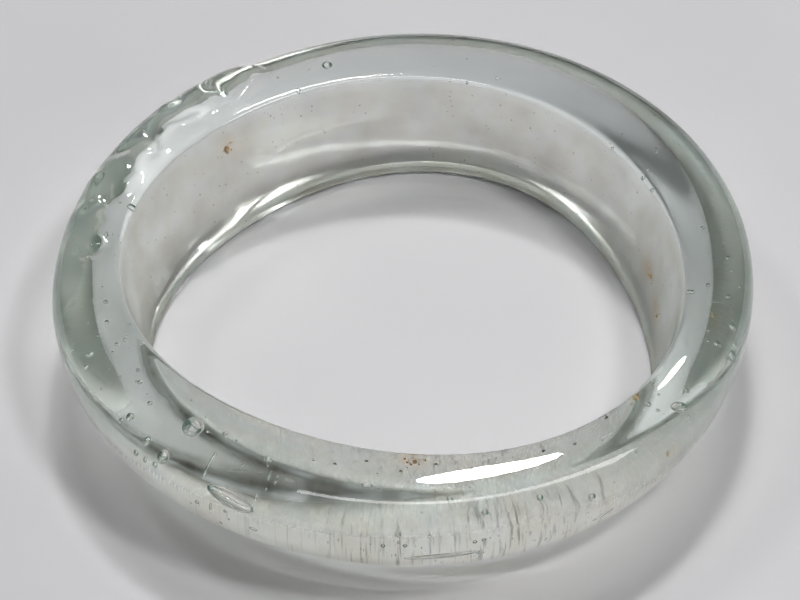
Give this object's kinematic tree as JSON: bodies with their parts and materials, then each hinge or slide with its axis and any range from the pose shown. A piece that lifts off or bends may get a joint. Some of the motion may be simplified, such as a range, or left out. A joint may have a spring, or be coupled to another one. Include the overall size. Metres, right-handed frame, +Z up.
{
  "type": "bangle bracelet",
  "caption": "Hand-formed clear glass bangle: a thick ring with a half-round outside, a tapered bore, a fused lap and trapped bubbles, worn round the wrist.",
  "frame": {"origin": "centre of the outside, on the flat foot that the ring rests on", "axes": "+Z up along the ring's axis, from the narrow end of the bore to the wide end; the bore sits 1 mm off centre towards -Y"},
  "size_m": [0.08, 0.08, 0.0154],
  "materials": {
    "clear_glass": "fire-polished outside, satin and slightly gritty in the bore",
    "fired_clay": "matt, broken",
    "iron_scale": "matt, flaky"
  },
  "bodies": {
    "root": {"glass_ring": "clear_glass", "clay_grit": "fired_clay", "scale_flecks": "iron_scale"}
  },
  "joints": []
}
